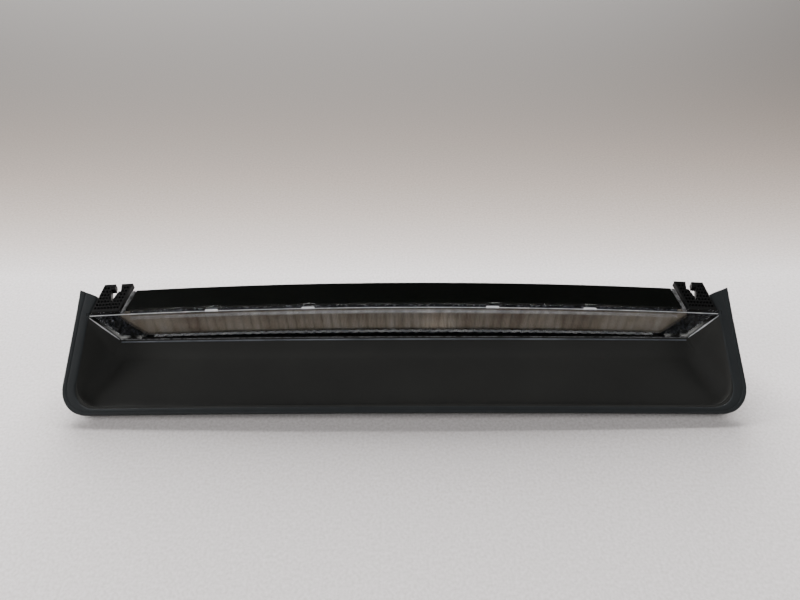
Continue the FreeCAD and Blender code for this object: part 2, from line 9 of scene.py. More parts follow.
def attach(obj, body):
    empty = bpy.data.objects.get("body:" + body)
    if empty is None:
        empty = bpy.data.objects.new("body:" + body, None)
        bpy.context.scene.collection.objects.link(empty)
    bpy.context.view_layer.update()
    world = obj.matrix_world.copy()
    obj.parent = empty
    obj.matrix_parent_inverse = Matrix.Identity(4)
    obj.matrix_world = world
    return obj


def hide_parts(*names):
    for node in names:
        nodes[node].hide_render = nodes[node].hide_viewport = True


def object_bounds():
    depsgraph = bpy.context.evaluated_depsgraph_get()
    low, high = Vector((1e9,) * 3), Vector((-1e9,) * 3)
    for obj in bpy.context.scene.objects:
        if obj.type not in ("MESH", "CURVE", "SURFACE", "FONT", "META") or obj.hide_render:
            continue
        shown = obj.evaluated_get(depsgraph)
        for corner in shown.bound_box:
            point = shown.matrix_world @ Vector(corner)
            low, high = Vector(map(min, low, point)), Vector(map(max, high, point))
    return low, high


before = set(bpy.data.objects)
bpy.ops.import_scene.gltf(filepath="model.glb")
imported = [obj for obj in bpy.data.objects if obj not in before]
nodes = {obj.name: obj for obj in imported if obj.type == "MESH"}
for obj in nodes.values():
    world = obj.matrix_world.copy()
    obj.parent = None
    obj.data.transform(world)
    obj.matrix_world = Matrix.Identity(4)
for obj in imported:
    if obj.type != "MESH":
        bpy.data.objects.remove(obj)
cad_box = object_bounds()


# Shroud: the wide scoop under the lamp that keeps its light off the rear glass. One injection moulding
# in black polypropylene, floor and walls 2.5 mm thick, with a fine spark-eroded grain.


def linear(hex_code):
    """An sRGB hex colour as linear red, green, blue and alpha."""
    parts = [int(hex_code[i:i + 2], 16) / 255 for i in (1, 3, 5)]
    return [p / 12.92 if p <= 0.04045 else ((p + 0.055) / 1.055) ** 2.4 for p in parts] + [1.0]


def add(tree, kind, links=None, **settings):
    """Adds one node with its settings. Each entry of links is a plain value or another node's socket."""
    node = tree.nodes.new(kind)
    for name, value in settings.items():
        setattr(node, name, value)
    for name, value in (links or {}).items():
        socket = node.inputs[name]
        if isinstance(value, bpy.types.NodeSocket):
            tree.links.new(value, socket)
        else:
            socket.default_value = value
    return node


def finish_material(name, shader_links):
    """A material with one Principled shader, whose inputs come from shader_links(tree, place)."""
    material = bpy.data.materials.new(name)
    material.use_nodes = True
    tree = material.node_tree
    tree.nodes.clear()
    place = add(tree, "ShaderNodeTexCoord").outputs["Object"]
    shader = add(tree, "ShaderNodeBsdfPrincipled", shader_links(tree, place))
    add(tree, "ShaderNodeOutputMaterial", {"Surface": shader.outputs["BSDF"]})
    return material


def wear(node_name, material):
    """Gives a CAD node one material."""
    mesh = nodes[node_name].data
    mesh.materials.clear()
    mesh.materials.append(material)


def grained_plastic(tree, place):
    """Spark grain of about 0.6 mm, which dulls every reflection, and a slow drift of colour."""
    grain = add(tree, "ShaderNodeTexNoise", {"Vector": place, "Scale": 1600.0, "Detail": 3.0})
    drift = add(tree, "ShaderNodeTexNoise", {"Vector": place, "Scale": 14.0, "Detail": 4.0})
    tone = add(tree, "ShaderNodeValToRGB", {"Fac": drift.outputs["Fac"]})
    tone.color_ramp.elements[0].color = linear("#353534")
    tone.color_ramp.elements[1].color = linear("#424240")
    gloss = add(tree, "ShaderNodeMapRange", {"Value": grain.outputs["Fac"], "To Min": 0.72,
                                             "To Max": 0.86})
    bump = add(tree, "ShaderNodeBump", {"Height": grain.outputs["Fac"], "Strength": 0.25,
                                        "Distance": 0.0001})
    return {"Base Color": tone.outputs["Color"], "Roughness": gloss.outputs["Result"],
            "Specular IOR Level": 0.22, "Normal": bump.outputs["Normal"]}


shroud_plastic = finish_material("grained_polypropylene", grained_plastic)

# Sizes are in millimetres: x from the middle, y back from the front edge, z up from the underside.
MM = 0.001
front_edge = cad_box[0][1]
half_width, rim_thickness, rim_corner, rim_flare = 252.0, 1.2, 20.0, 0.010
wall, wall_lean, floor_blend = 2.5, 0.32, 15.0
scoop_half, scoop_front, scoop_corner = 242.0, 5.5, 18.0
middle_x, middle_y = scoop_half - scoop_corner, scoop_front + scoop_corner
glass_foot, glass_slope, glass_crown = 5.0, 0.5, 2.5
apron_foot, apron_gap, lens_plane = 57.5, 0.3, 67.1
lens_foot, lens_foot_half, lens_foot_crown = 11.0, 226.1, 2.4
facet_foot, facet_rise_out, facet_rise_back = 10.7, 1.607, 1.873
facet_blend, back_blend = 1.5, 5.0


def arc_height(x, rise):
    """Height of a shallow arc across the whole width: rise in the middle, nothing at the ends."""
    radius = (half_width ** 2 + rise ** 2) / (2 * rise)
    return rise - radius + np.sqrt(radius ** 2 - x ** 2)


def glass_height(x, y, rise=glass_crown):
    """The inside of the rear glass: the rim follows it, and so does the lamp with a larger rise."""
    return glass_foot + glass_slope * y + arc_height(x, rise)


def lens_foot_height(x):
    """Lower edge of the lens, a little higher in the middle."""
    return lens_foot + lens_foot_crown * (1 - (x / lens_foot_half) ** 2)


def soft_max(a, b, blend):
    """The larger of two heights, rounded where they meet."""
    return np.maximum(a, b) + np.maximum(blend - np.abs(a - b), 0) ** 2 / (4 * blend)


def scoop_height(x, y):
    """Inside surface of the scoop: rim, leaning wall with a wide blend to the floor, apron and facets."""
    x, y = np.asarray(x, float), np.asarray(y, float)
    side = np.abs(x)
    past_x, past_y = side - middle_x, middle_y - y
    corner = np.hypot(np.maximum(past_x, 0), np.maximum(past_y, 0))
    inward = scoop_corner - np.where((past_x > 0) & (past_y > 0), corner, np.maximum(past_x, past_y))
    rim = glass_height(x, y) - rim_thickness
    tall = rim - wall
    radius = np.minimum(floor_blend, 1.1 * tall)
    foot = wall_lean * tall
    tangent = radius * math.tan(math.atan(1 / wall_lean) / 2)
    to_arc = np.clip(foot + tangent - inward, 0, radius * 0.999)
    profile = wall + radius - np.sqrt(radius ** 2 - to_arc ** 2)
    profile = np.where(inward < foot - tangent * math.cos(math.atan(1 / wall_lean)),
                       rim - np.maximum(inward, 0) / wall_lean, profile)
    apron_top = lens_foot_height(x) - apron_gap
    apron = wall + (y - apron_foot) * (apron_top - wall) / (lens_plane - apron_foot)
    facet = facet_foot + facet_rise_out * (side - lens_foot_half) + facet_rise_back * (y - lens_plane)
    back = soft_max(apron, facet, facet_blend)
    return np.minimum(soft_max(profile, back, back_blend), rim)


def flared(x, y):
    """The scoop widens evenly from the lamp to its front edge."""
    return x * (1 + rim_flare * max(0.0, 1 - y / lens_plane))


def rim_stations(rows, columns):
    """Pairs of points, on the rim's inner edge and on its outer edge, round the U from back left to back
    right, and whether the scoop's wall hangs below the pair."""
    pairs = []
    inner_length, inner_lean = 14.4, 5.0
    outer_length, outer_lean = 19.5, 0.4
    for share in np.linspace(1, 0, 8)[:-1]:
        inner = (-scoop_half + inner_lean * share, lens_plane + inner_length * share)
        outer = (-half_width + outer_lean * share, lens_plane + outer_length * share)
        pairs.append((inner, outer, False))
    for y in rows[::-1]:
        pairs.append(((-scoop_half, y), (-half_width, y), True))
    centre_x, centre_y = half_width - rim_corner - middle_x, rim_corner - middle_y
    for turn in np.radians(np.linspace(0, 90, 15)[1:-1]):
        nx, ny = -math.cos(turn), -math.sin(turn)
        to_side, to_front = (half_width - middle_x) / -nx, middle_y / -ny
        along = -nx * centre_x + ny * centre_y
        offset = math.hypot(centre_x, centre_y)
        reach = along + math.sqrt(along ** 2 - offset ** 2 + rim_corner ** 2)
        if middle_y + ny * to_side >= rim_corner:
            reach = to_side
        elif middle_x - nx * to_front <= half_width - rim_corner:
            reach = to_front
        pairs.append(((-middle_x + nx * scoop_corner, middle_y + ny * scoop_corner),
                      (-middle_x + nx * reach, middle_y + ny * reach), True))
    for x in columns[columns <= 0]:
        pairs.append(((x, scoop_front), (x, 0.0), True))
    mirrored = [((-a[0], a[1]), (-b[0], b[1]), hangs) for a, b, hangs in pairs if a[0] != 0]
    return pairs + mirrored[::-1]


def make_piece(name, points, faces, material, sharp=40.0):
    """A piece from points in millimetres, measured from the middle of the front edge."""
    mesh = bpy.data.meshes.new(name)
    mesh.from_pydata([(x * MM, front_edge + y * MM, z * MM) for x, y, z in points], [], faces)
    mesh.materials.append(material)
    mesh.shade_smooth()
    mesh.set_sharp_from_angle(angle=math.radians(sharp))
    piece = bpy.data.objects.new(name, mesh)
    bpy.context.scene.collection.objects.link(piece)
    return piece


def grid_faces(rows, columns, start=0):
    """Faces of a grid of points listed row by row, the first of them at start."""
    faces = []
    for r in range(rows - 1):
        for c in range(columns - 1):
            a = start + r * columns + c
            faces.append((a, a + 1, a + columns + 1, a + columns))
    return faces


def ring_faces(stations, count):
    """Faces of closed rings of count points, joined one to the next, with both ends capped."""
    faces = []
    for r in range(stations - 1):
        for c in range(count):
            a, b = r * count + c, r * count + (c + 1) % count
            faces.append((a, b, b + count, a + count))
    last = (stations - 1) * count
    return faces + [tuple(range(count))[::-1], tuple(range(last, last + count))]


def tidy_mesh(piece, join=0.00001):
    """Merges doubled points and turns every face outwards."""
    work = bmesh.new()
    work.from_mesh(piece.data)
    bmesh.ops.remove_doubles(work, verts=work.verts, dist=join)
    bmesh.ops.recalc_face_normals(work, faces=work.faces)
    work.to_mesh(piece.data)
    work.free()


# The shell is one surface of two grids: strips down from the rim, and the floor with apron and facets.
# Rows and columns are closer together where the apron and the facets bend.
rows = np.concatenate([np.linspace(middle_y, 50, 12), np.linspace(51.2, lens_plane, 15)])
ends = np.arange(0, 27, 1.5)
columns = np.concatenate([-middle_x + ends, np.linspace(-197, 197, 60), middle_x - ends[::-1]])
columns = np.unique(np.round(np.append(columns, 0.0), 4))
stations = [s for s in rim_stations(rows, columns) if s[2]]
steps = [0, 0.3, 0.8, 1.5, 2.5, 3.5, 4.5, 5.5, 6.5, 7.5, 8.5, 9.5, 10.5, 12, 13.5, 15, 16.5, 18]
steps = np.array(steps) / scoop_corner
ring = []
for (ix, iy), (ox, oy), hangs in stations:
    inward = np.array([np.clip(ix, -middle_x, middle_x) - ix, max(middle_y - iy, 0.0)])
    for share in (1.0, 0.5):
        ring.append((ix + (ox - ix) * share, iy + (oy - iy) * share))
    for step in steps:
        ring.append((ix + inward[0] * step, iy + inward[1] * step))
ring = np.array(ring)
grid = np.array([(x, y) for y in rows for x in columns])
flat = np.concatenate([ring, grid])
heights = scoop_height(flat[:, 0], flat[:, 1])
faces = grid_faces(len(stations), len(steps) + 2)
faces += grid_faces(len(rows), len(columns), len(ring))
shell_points = [(flared(x, y), y, z) for (x, y), z in zip(flat, heights)]
shell = make_piece("shroud_shell", shell_points, faces, shroud_plastic, 60)
tidy_mesh(shell)
if sum(f.normal.z * f.area for f in shell.data.polygons) < 0:
    shell.data.flip_normals()
shell_wall = shell.modifiers.new("wall", "SOLIDIFY")
shell_wall.thickness = wall * MM
shell_wall.offset = -1.0
shell_wall.use_even_offset = True
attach(shell, "root")
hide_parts("shroud")


def tube(name, points, radius, material, tall=1.0, sides=10, tip=1.0):
    """A round bead along points, with closed ends. tall stretches its section upwards; its thickness
    falls to the share tip at the ends."""
    path = [Vector(p) for p in points]
    fades = [tip + (1 - tip) * math.sin(math.pi * i / (len(path) - 1)) for i in range(len(path))]
    ring_points = []
    for i, point in enumerate(path):
        ahead = (path[min(i + 1, len(path) - 1)] - path[max(i - 1, 0)]).normalized()
        side = ahead.cross(Vector((0, 1, 0))).normalized()
        out = side.cross(ahead)
        for k in range(sides):
            turn = 2 * math.pi * k / sides
            wide = math.cos(turn) * radius * tall * fades[i]
            ring_points.append(point + side * wide + out * (math.sin(turn) * radius * fades[i]))
    piece = make_piece(name, ring_points, ring_faces(len(path), sides), material, 70)
    tidy_mesh(piece, 0.000001)
    return piece


def painted_lip_highlight(tree, place):
    """The same black plastic where the mould leaves it smooth; its blue-grey colour is a painted
    highlight on the rounded edge.
    """
    drift = add(tree, "ShaderNodeTexNoise", {"Vector": place, "Scale": 30.0, "Detail": 4.0})
    tone = add(tree, "ShaderNodeValToRGB", {"Fac": drift.outputs["Fac"]})
    tone.color_ramp.elements[0].position = 0.35
    tone.color_ramp.elements[0].color = linear("#5c6067")
    tone.color_ramp.elements[1].position = 0.65
    tone.color_ramp.elements[1].color = linear("#9499a2")
    return {"Base Color": tone.outputs["Color"], "Roughness": 0.4}


# A bead under the lens's lower edge, painted blue-grey as a highlight, and a soft ridge where the apron
# turns into each facet.
lip_highlight = finish_material("polypropylene_lip_painted_highlight", painted_lip_highlight)
lip_y, lip_drop, lip_radius = 66.0, 1.2, 0.6
lip_path = [(x, lip_y, lens_foot_height(x) - lip_drop) for x in np.linspace(-225, 225, 70)]
edges = [tube("shroud_lip", lip_path, lip_radius, lip_highlight)]
hip_out, hip_forward, hip_sink, hip_radius = 5.4, 8.4, 1.0, 1.25
for side, word in ((-1, "left"), (1, "right")):
    hip_path = []
    for share in np.linspace(0, 1, 10):
        x, y = side * (lens_foot_half + hip_out * share), lens_plane - 0.4 - hip_forward * share
        hip_path.append((x, y, float(scoop_height(x, y)) - hip_sink - 0.25 * share))
    edges.append(tube("shroud_hip_" + word, hip_path, hip_radius, shroud_plastic, sides=16, tip=0.8))
for piece in edges:
    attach(piece, "root")
    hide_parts("shroud")


# Cradle: the part of the same moulding behind and under the apron, with cheeks, ribs and the shelf that
# the lamp is screwed on. Its walls are flat, so they are cut from the CAD solid as they stand.


def cut_copy(source, planes):
    """Mesh of a CAD node, cut down to the side of each plane that its normal points to."""
    work = bmesh.new()
    work.from_mesh(source.data)
    bmesh.ops.remove_doubles(work, verts=work.verts, dist=0.000002)
    for point, normal in planes:
        everything = work.verts[:] + work.edges[:] + work.faces[:]
        done = bmesh.ops.bisect_plane(work, geom=everything, plane_co=point, plane_no=normal,
                                      clear_inner=True)
        rim = [e for e in done["geom_cut"] if isinstance(e, bmesh.types.BMEdge)]
        bmesh.ops.triangle_fill(work, edges=rim, use_beauty=True)
    return work


# Below the apron, only what lies clear of the shell's own wall is kept.
seam = (0, front_edge + lens_plane * MM, 0)
apron_slope = (lens_foot - wall) / (lens_plane - apron_foot)
under_apron = (0, front_edge + (apron_foot + 1.6 * wall) * MM, wall * MM)
behind = cut_copy(nodes["shroud"], [(seam, (0, 1, 0))])
below = cut_copy(nodes["shroud"], [(seam, (0, -1, 0)), (under_apron, (0, apron_slope, -1))])
cradle_mesh = bpy.data.meshes.new("shroud_cradle")
behind.to_mesh(cradle_mesh)
extra = bpy.data.meshes.new("under_apron")
below.to_mesh(extra)
behind.from_mesh(extra)
behind.to_mesh(cradle_mesh)
bpy.data.meshes.remove(extra)
cradle_mesh.materials.clear()
cradle_mesh.materials.append(shroud_plastic)
cradle_mesh.shade_smooth()
cradle_mesh.set_sharp_from_angle(angle=math.radians(30))
cradle = bpy.data.objects.new("shroud_cradle", cradle_mesh)
bpy.context.scene.collection.objects.link(cradle)
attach(cradle, "root")
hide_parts("shroud")


# Seal: soft rubber lip bonded on the shroud's rim, where it meets the glass. Extruded thermoplastic
# elastomer, with rounded edges and a shallow groove along its outer third.


def rubber(tree, place):
    """Blue-black rubber with a faint bloom."""
    bloom = add(tree, "ShaderNodeTexNoise", {"Vector": place, "Scale": 60.0, "Detail": 5.0})
    tone = add(tree, "ShaderNodeValToRGB", {"Fac": bloom.outputs["Fac"]})
    tone.color_ramp.elements[0].color = linear("#26292b")
    tone.color_ramp.elements[1].color = linear("#303436")
    bump = add(tree, "ShaderNodeBump", {"Height": bloom.outputs["Fac"], "Strength": 0.1,
                                        "Distance": 0.0002})
    return {"Base Color": tone.outputs["Color"], "Roughness": 0.66, "Specular IOR Level": 0.35,
            "Normal": bump.outputs["Normal"]}


seal_rubber = finish_material("soft_seal_rubber", rubber)
# Its section, as shares of the rim's width from the inner edge and of its thickness down from the glass.
seal_profile = [(1.0, -1.0), (1.0, -0.5), (0.985, -0.2), (0.94, -0.04), (0.88, 0.0), (0.78, 0.0),
                (0.70, -0.03), (0.675, -0.28), (0.65, -0.3), (0.625, -0.16), (0.55, -0.06),
                (0.4, -0.03), (0.25, -0.04), (0.14, -0.1), (0.06, -0.26), (0.0, -0.62), (0.0, -1.0)]
front_inset, inset_start, inset_length = 0.28, 24.0, 18.0
path = rim_stations(rows[::3], columns[::2])
seal_points = []
for (ix, iy), (ox, oy), hangs in path:
    inset = front_inset * max(0.0, min(1.0, (inset_start - iy) / inset_length))
    for width, drop in seal_profile:
        share = inset + (1 - inset) * width
        x, y = ix + (ox - ix) * share, iy + (oy - iy) * share
        seal_points.append((flared(x, y), y, float(glass_height(x, y)) + drop * rim_thickness))
seal = make_piece("rim_seal", seal_points, ring_faces(len(path), len(seal_profile)), seal_rubber, 60)
tidy_mesh(seal, 0.000001)
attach(seal, "root")
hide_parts("glass_seal")


# Lamp housing: the tray that everything in the lamp sits in. Injection moulded in black ABS and hot-plate
# welded to the lens; its top is the smooth dark strip behind the lens.


def satin_plastic(tree, place):
    """Polished mould surface: near black, with a slow change of gloss that breaks up its reflections."""
    haze = add(tree, "ShaderNodeTexNoise", {"Vector": place, "Scale": 30.0, "Detail": 4.0})
    gloss = add(tree, "ShaderNodeMapRange", {"Value": haze.outputs["Fac"], "To Min": 0.17,
                                             "To Max": 0.22})
    tone = add(tree, "ShaderNodeValToRGB", {"Fac": haze.outputs["Fac"]})
    tone.color_ramp.elements[0].color = linear("#101210")
    tone.color_ramp.elements[1].color = linear("#161815")
    return {"Base Color": tone.outputs["Color"], "Roughness": gloss.outputs["Result"]}


wear("lamp_housing", finish_material("satin_black_abs", satin_plastic))


# Reflector: bright tray with a hole for each diode. Moulded, then vacuum metallised; it snaps into the
# housing in front of the board.


def bright_coat(tree, place):
    """Thin aluminium under lacquer: slightly warm, with hazy patches."""
    haze = add(tree, "ShaderNodeTexNoise", {"Vector": place, "Scale": 90.0, "Detail": 4.0})
    gloss = add(tree, "ShaderNodeMapRange", {"Value": haze.outputs["Fac"], "To Min": 0.18,
                                             "To Max": 0.34})
    return {"Base Color": linear("#b4aea6"), "Metallic": 1.0, "Roughness": gloss.outputs["Result"]}


wear("reflector", finish_material("vacuum_metallised_reflector", bright_coat))


# Board: one long strip of glass-epoxy laminate with a green solder mask. It is routed from a panel and
# held in the housing by four small screws.


def solder_mask(tree, place):
    """The weave of the glass cloth shows faintly through the green."""
    weave = add(tree, "ShaderNodeTexNoise", {"Vector": place, "Scale": 900.0, "Detail": 2.0})
    tone = add(tree, "ShaderNodeValToRGB", {"Fac": weave.outputs["Fac"]})
    tone.color_ramp.elements[0].color = linear("#0d3a22")
    tone.color_ramp.elements[1].color = linear("#16502f")
    return {"Base Color": tone.outputs["Color"], "Roughness": 0.3}


wear("led_board", finish_material("green_solder_mask", solder_mask))


# Diodes: 18 small surface-mounted packages in moulded white plastic, soldered along the board, each
# behind its own hole of the reflector.


def led_package(tree, place):
    """Warm white moulding with a fine grain."""
    grain = add(tree, "ShaderNodeTexNoise", {"Vector": place, "Scale": 1200.0})
    tone = add(tree, "ShaderNodeValToRGB", {"Fac": grain.outputs["Fac"]})
    tone.color_ramp.elements[0].color = linear("#c9c4b4")
    tone.color_ramp.elements[1].color = linear("#dedac8")
    return {"Base Color": tone.outputs["Color"], "Roughness": 0.35}


wear("leds", finish_material("white_led_package", led_package))


# Resistors, driver chip and protection diode: packages moulded in black epoxy and soldered on the
# board. They set the current of the diodes and guard it.


def epoxy(tree, place):
    """Matt black with a fine grain from the filler."""
    grain = add(tree, "ShaderNodeTexNoise", {"Vector": place, "Scale": 2500.0})
    tone = add(tree, "ShaderNodeValToRGB", {"Fac": grain.outputs["Fac"]})
    tone.color_ramp.elements[0].color = linear("#101010")
    tone.color_ramp.elements[1].color = linear("#1d1d1e")
    return {"Base Color": tone.outputs["Color"], "Roughness": 0.6}


chip_epoxy = finish_material("moulded_epoxy_package", epoxy)
for name in ("current_resistors", "driver_chip", "protection_diode"):
    wear(name, chip_epoxy)


# Filter capacitors: two drawn aluminium cans soldered beside the chip. They keep the supply steady, so
# that the lamp doesn't flicker.


def aluminium_can(tree, place):
    """Bare drawn aluminium with uneven gloss."""
    grain = add(tree, "ShaderNodeTexNoise", {"Vector": place, "Scale": 2000.0})
    gloss = add(tree, "ShaderNodeMapRange", {"Value": grain.outputs["Fac"], "To Min": 0.25,
                                             "To Max": 0.4})
    return {"Base Color": linear("#c7c9cb"), "Metallic": 1.0, "Roughness": gloss.outputs["Result"]}


wear("filter_capacitors", finish_material("drawn_aluminium_can", aluminium_can))


# Connector: a two-way socket moulded in black nylon on the back of the board, with two tinned brass
# blades pressed into it.


def matte_nylon(tree, place):
    """Glass-filled nylon: matt and slightly rough, a little lighter where the grain stands up."""
    grain = add(tree, "ShaderNodeTexNoise", {"Vector": place, "Scale": 900.0, "Detail": 3.0})
    tone = add(tree, "ShaderNodeValToRGB", {"Fac": grain.outputs["Fac"]})
    tone.color_ramp.elements[0].color = linear("#0c0c0c")
    tone.color_ramp.elements[1].color = linear("#171717")
    bump = add(tree, "ShaderNodeBump", {"Height": grain.outputs["Fac"], "Strength": 0.3,
                                        "Distance": 0.0002})
    return {"Base Color": tone.outputs["Color"], "Roughness": 0.45, "Specular IOR Level": 0.2,
            "Normal": bump.outputs["Normal"]}


black_nylon = finish_material("matte_black_nylon", matte_nylon)
wear("connector_header", black_nylon)


def tinned_blade(tree, place):
    """Dull bright tin, rubbed in places by the plug."""
    rub = add(tree, "ShaderNodeTexNoise", {"Vector": place, "Scale": 900.0, "Detail": 3.0})
    gloss = add(tree, "ShaderNodeMapRange", {"Value": rub.outputs["Fac"], "To Min": 0.2,
                                             "To Max": 0.45})
    return {"Base Color": linear("#cfcfca"), "Metallic": 1.0, "Roughness": gloss.outputs["Result"]}


wear("connector_terminals", finish_material("tinned_brass", tinned_blade))


# Fluted optic: clear acrylic plate in front of the reflector, with 54 moulded flutes that spread the
# light of the diodes. Each flute is a shallow convex column with six fine ribs and a rounded foot.


window_half, window_side, window_foot_half, window_foot, foot_rise = 219.0, 33.0, 204.0, 15.0, 5.0
window_head, head_rise = 37.5, 7.0
flute_count, flute_pitch, flute_rise, flute_face, flute_tall = 54, 7.0, 0.9, 72.0, 24.0
flute_front, flute_back, head_gap = 0.15, 0.3, 1.0
rib_count, rib_rise, foot_radius, foot_scallop = 6, 0.05, 2.0, 0.9
# Share of colour left by the painted shade in each groove and between the fine ribs.
groove_shade, rib_shade = 0.78, 0.5
# Centre of the painted highlight on the flutes.
highlight_place = (27.0 * MM, front_edge + flute_face * MM, 23.0 * MM)


def fluted_acrylic(tree, place):
    """Acrylic over a metallised reflector looks grey-brown, in soft patches that differ at random; the
    palest stop of the patches is a painted highlight. Painted shade darkens each groove, the gaps between
    the fine ribs and the top of the window, and a painted highlight brightens one patch near the middle."""
    warp = add(tree, "ShaderNodeMapping", {"Vector": place, "Scale": (1.0, 1.0, 0.2)})
    patch = add(tree, "ShaderNodeTexNoise", {"Vector": warp.outputs["Vector"], "Scale": 55.0,
                                             "Detail": 6.0, "Roughness": 0.75})
    tone = add(tree, "ShaderNodeValToRGB", {"Fac": patch.outputs["Fac"]})
    tone.color_ramp.elements[0].position = 0.3
    tone.color_ramp.elements[0].color = linear("#a08c7e")
    tone.color_ramp.elements[1].position = 0.66
    tone.color_ramp.elements[1].color = linear("#ded4c8")
    middle = tone.color_ramp.elements.new(0.48)
    middle.color = linear("#c4b8a8")
    # A near-white stop: painted highlights in the brightest patches.
    bright = tone.color_ramp.elements.new(0.74)
    bright.color = linear("#fffaf0")
    along = add(tree, "ShaderNodeSeparateXYZ", {0: place})
    shades = []
    for period, low in ((flute_pitch * MM, groove_shade), (flute_pitch * MM / rib_count, rib_shade)):
        phase = add(tree, "ShaderNodeMath", {0: along.outputs["X"], 1: math.pi / period},
                    operation="MULTIPLY")
        wave = add(tree, "ShaderNodeMath", {0: phase.outputs[0]}, operation="SINE")
        hump = add(tree, "ShaderNodeMath", {0: wave.outputs[0]}, operation="ABSOLUTE")
        band = add(tree, "ShaderNodeMapRange", {"Value": hump.outputs[0], "From Max": 0.6, "To Min": low})
        shades.append(band.outputs["Result"])
    # Painted shade towards the top of the window.
    top_shade = add(tree, "ShaderNodeMapRange", {"Value": along.outputs["Z"], "From Min": 0.024,
                                              "From Max": 0.038, "To Min": 1.15, "To Max": 0.7})
    # Painted highlight round one place near the middle.
    spot = add(tree, "ShaderNodeVectorMath", {0: place, 1: highlight_place}, operation="DISTANCE")
    highlight_patch = add(tree, "ShaderNodeMapRange", {"Value": spot.outputs["Value"], "From Min": 0.004,
                                            "From Max": 0.018, "To Min": 1.7, "To Max": 1.0})
    shade = shades[0]
    for another in (shades[1], top_shade.outputs["Result"], highlight_patch.outputs["Result"]):
        shade = add(tree, "ShaderNodeMath", {0: shade, 1: another}, operation="MULTIPLY").outputs[0]
    ribbed = add(tree, "ShaderNodeVectorMath", {0: tone.outputs["Color"], 1: shade}, operation="MULTIPLY")
    gloss = add(tree, "ShaderNodeMapRange", {"Value": patch.outputs["Fac"], "To Min": 0.14,
                                             "To Max": 0.3})
    return {"Base Color": ribbed.outputs["Vector"], "Roughness": gloss.outputs["Result"],
            "Transmission Weight": 0.1, "IOR": 1.49}


acrylic = finish_material("fluted_acrylic", fluted_acrylic)


def window_span(x):
    """Lowest and highest point of the window at x."""
    side = abs(x)
    low = window_foot + foot_rise * (1 - (side / window_foot_half) ** 2)
    if side > window_foot_half:
        slant = window_half - window_foot_half
        low = window_foot + (side - window_foot_half) * (window_side - window_foot) / slant
    return low, window_head + head_rise * (1 - (side / window_half) ** 2)


def flute_mesh():
    """One flute, standing at the origin with its back in the plate. Its foot is rounded and scalloped."""
    across = np.linspace(-0.5, 0.5, 19)
    up = np.array([0.0, 0.25, 0.8, foot_radius, 5.0, flute_tall])
    round_foot = np.sqrt(1 - np.clip((foot_radius - up) / foot_radius, 0, 1) ** 2)
    points = []
    for z, fade in zip(up, round_foot):
        for u in across:
            bulge = flute_rise * (1 - (2 * u) ** 2) + rib_rise * math.cos(2 * rib_count * math.pi * u)
            foot = max(foot_scallop - z, 0) * (2 * u) ** 2
            points.append((u * flute_pitch, -flute_front - bulge * fade, z + foot))
    faces = grid_faces(len(up), len(across))
    start = len(points)
    for z in (0.0, flute_tall):
        for u in across:
            foot = max(foot_scallop - z, 0) * (2 * u) ** 2
            points.append((u * flute_pitch, flute_back, z + foot))
    n = len(across)
    top = (len(up) - 1) * n
    for c in range(n - 1):
        faces.append((start + c, start + n + c, start + n + c + 1, start + c + 1))
        faces.append((c, start + c, start + c + 1, c + 1))
        faces.append((top + c, top + c + 1, start + n + c + 1, start + n + c))
    left = [r * n for r in range(len(up))]
    right = [r * n + n - 1 for r in range(len(up))]
    faces.append(tuple(left + [start + n, start]))
    faces.append(tuple(right[::-1] + [start + n - 1, start + 2 * n - 1]))
    return points, faces


points, faces = flute_mesh()
flute = bpy.data.meshes.new("flute")
flute.from_pydata([(x * MM, y * MM, z * MM) for x, y, z in points], [], faces)
flute.shade_smooth()
flute.set_sharp_from_angle(angle=math.radians(50))
flutes = bpy.data.objects.new("optic_flutes", flute)
bpy.context.scene.collection.objects.link(flutes)
tidy_mesh(flutes, 0.000001)

row = bpy.data.node_groups.new("row_of_flutes", "GeometryNodeTree")
row.interface.new_socket("Geometry", in_out="INPUT", socket_type="NodeSocketGeometry")
flute_sizes = {"Pitch": flute_pitch * MM, "Face": front_edge + flute_face * MM,
               "Foot": window_foot * MM, "Foot Rise": foot_rise * MM, "Foot Half": window_foot_half * MM,
               "Head": (window_head - head_gap) * MM, "Head Rise": head_rise * MM,
               "Head Half": window_half * MM, "Flute Tall": flute_tall * MM}
row.interface.new_socket("Count", in_out="INPUT", socket_type="NodeSocketInt")
for name in flute_sizes:
    row.interface.new_socket(name, in_out="INPUT", socket_type="NodeSocketFloat")
row.interface.new_socket("Geometry", in_out="OUTPUT", socket_type="NodeSocketGeometry")
given = row.nodes.new("NodeGroupInput").outputs
gaps = add(row, "ShaderNodeMath", {0: given["Count"], 1: 1.0}, operation="SUBTRACT")
row_width = add(row, "ShaderNodeMath", {0: gaps.outputs[0], 1: given["Pitch"]}, operation="MULTIPLY")
start_x = add(row, "ShaderNodeMath", {0: row_width.outputs[0], 1: -0.5}, operation="MULTIPLY")
line_start = add(row, "ShaderNodeCombineXYZ", {"X": start_x.outputs[0], "Y": given["Face"]})
line_step = add(row, "ShaderNodeCombineXYZ", {"X": given["Pitch"]})
line = add(row, "GeometryNodeMeshLine", {"Count": given["Count"], "Start Location": line_start.outputs[0],
                                         "Offset": line_step.outputs[0]})
where = add(row, "ShaderNodeSeparateXYZ", {0: add(row, "GeometryNodeInputPosition").outputs[0]})


def arch(level, rise, half):
    """Height of a flat parabola at the point's x."""
    share = add(row, "ShaderNodeMath", {0: where.outputs["X"], 1: half}, operation="DIVIDE")
    square = add(row, "ShaderNodeMath", {0: share.outputs[0], 1: share.outputs[0]}, operation="MULTIPLY")
    drop = add(row, "ShaderNodeMath", {0: 1.0, 1: square.outputs[0]}, operation="SUBTRACT")
    height = add(row, "ShaderNodeMath", {0: drop.outputs[0], 1: rise, 2: level},
                 operation="MULTIPLY_ADD")
    return height.outputs[0]


